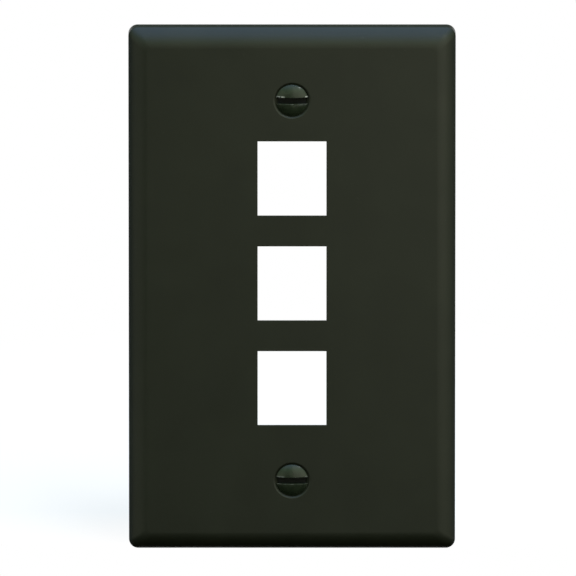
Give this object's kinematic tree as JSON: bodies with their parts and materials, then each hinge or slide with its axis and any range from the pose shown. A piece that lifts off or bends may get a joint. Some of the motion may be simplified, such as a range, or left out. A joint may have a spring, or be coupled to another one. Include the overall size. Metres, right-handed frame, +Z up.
{
  "type": "wall plate cover",
  "caption": "Single-gang plastic wall plate with a column of snap-in jack openings, held by slotted oval-head screws that back out on their threads.",
  "frame": {"origin": "centre of the wall plane, midway between the two screws", "axes": "+X to the right as seen from the room, +Y into the wall, +Z up; the front face looks along -Y"},
  "size_m": [0.0698, 0.0263, 0.1142],
  "materials": {
    "plate_plastic": "fine satin moulded thermoplastic, olive black",
    "screw_metal": "steel, head painted to match the plate, shank zinc plated",
    "washer_fibre": "vulcanised fibre, dull red brown"
  },
  "bodies": {
    "plate": {"faceplate": "plate_plastic"},
    "upper_washer": {"upper_screw_retainer": "washer_fibre"},
    "upper_fastener": {"upper_screw": "screw_metal"},
    "lower_washer": {"lower_screw_retainer": "washer_fibre"},
    "lower_fastener": {"lower_screw": "screw_metal"}
  },
  "joints": [
    {"name": "upper_screw_travel", "type": "slide", "parent": "plate", "child": "upper_washer", "axis": [0, -1, 0], "range_m": [0, 0.00635]},
    {"name": "upper_screw_turn", "type": "hinge", "parent": "upper_washer", "child": "upper_fastener", "pos_m": [0, 0, 0.04167], "axis": [0, -1, 0], "range_deg": [0, 2880]},
    {"name": "lower_screw_travel", "type": "slide", "parent": "plate", "child": "lower_washer", "axis": [0, -1, 0], "range_m": [0, 0.00635]},
    {"name": "lower_screw_turn", "type": "hinge", "parent": "lower_washer", "child": "lower_fastener", "pos_m": [0, 0, -0.04167], "axis": [0, -1, 0], "range_deg": [0, 2880]}
  ],
  "couplings": [
    {"joint": "upper_screw_turn", "follows": "upper_screw_travel", "rad_per_m": 7915.8},
    {"joint": "lower_screw_turn", "follows": "lower_screw_travel", "rad_per_m": 7915.8}
  ]
}
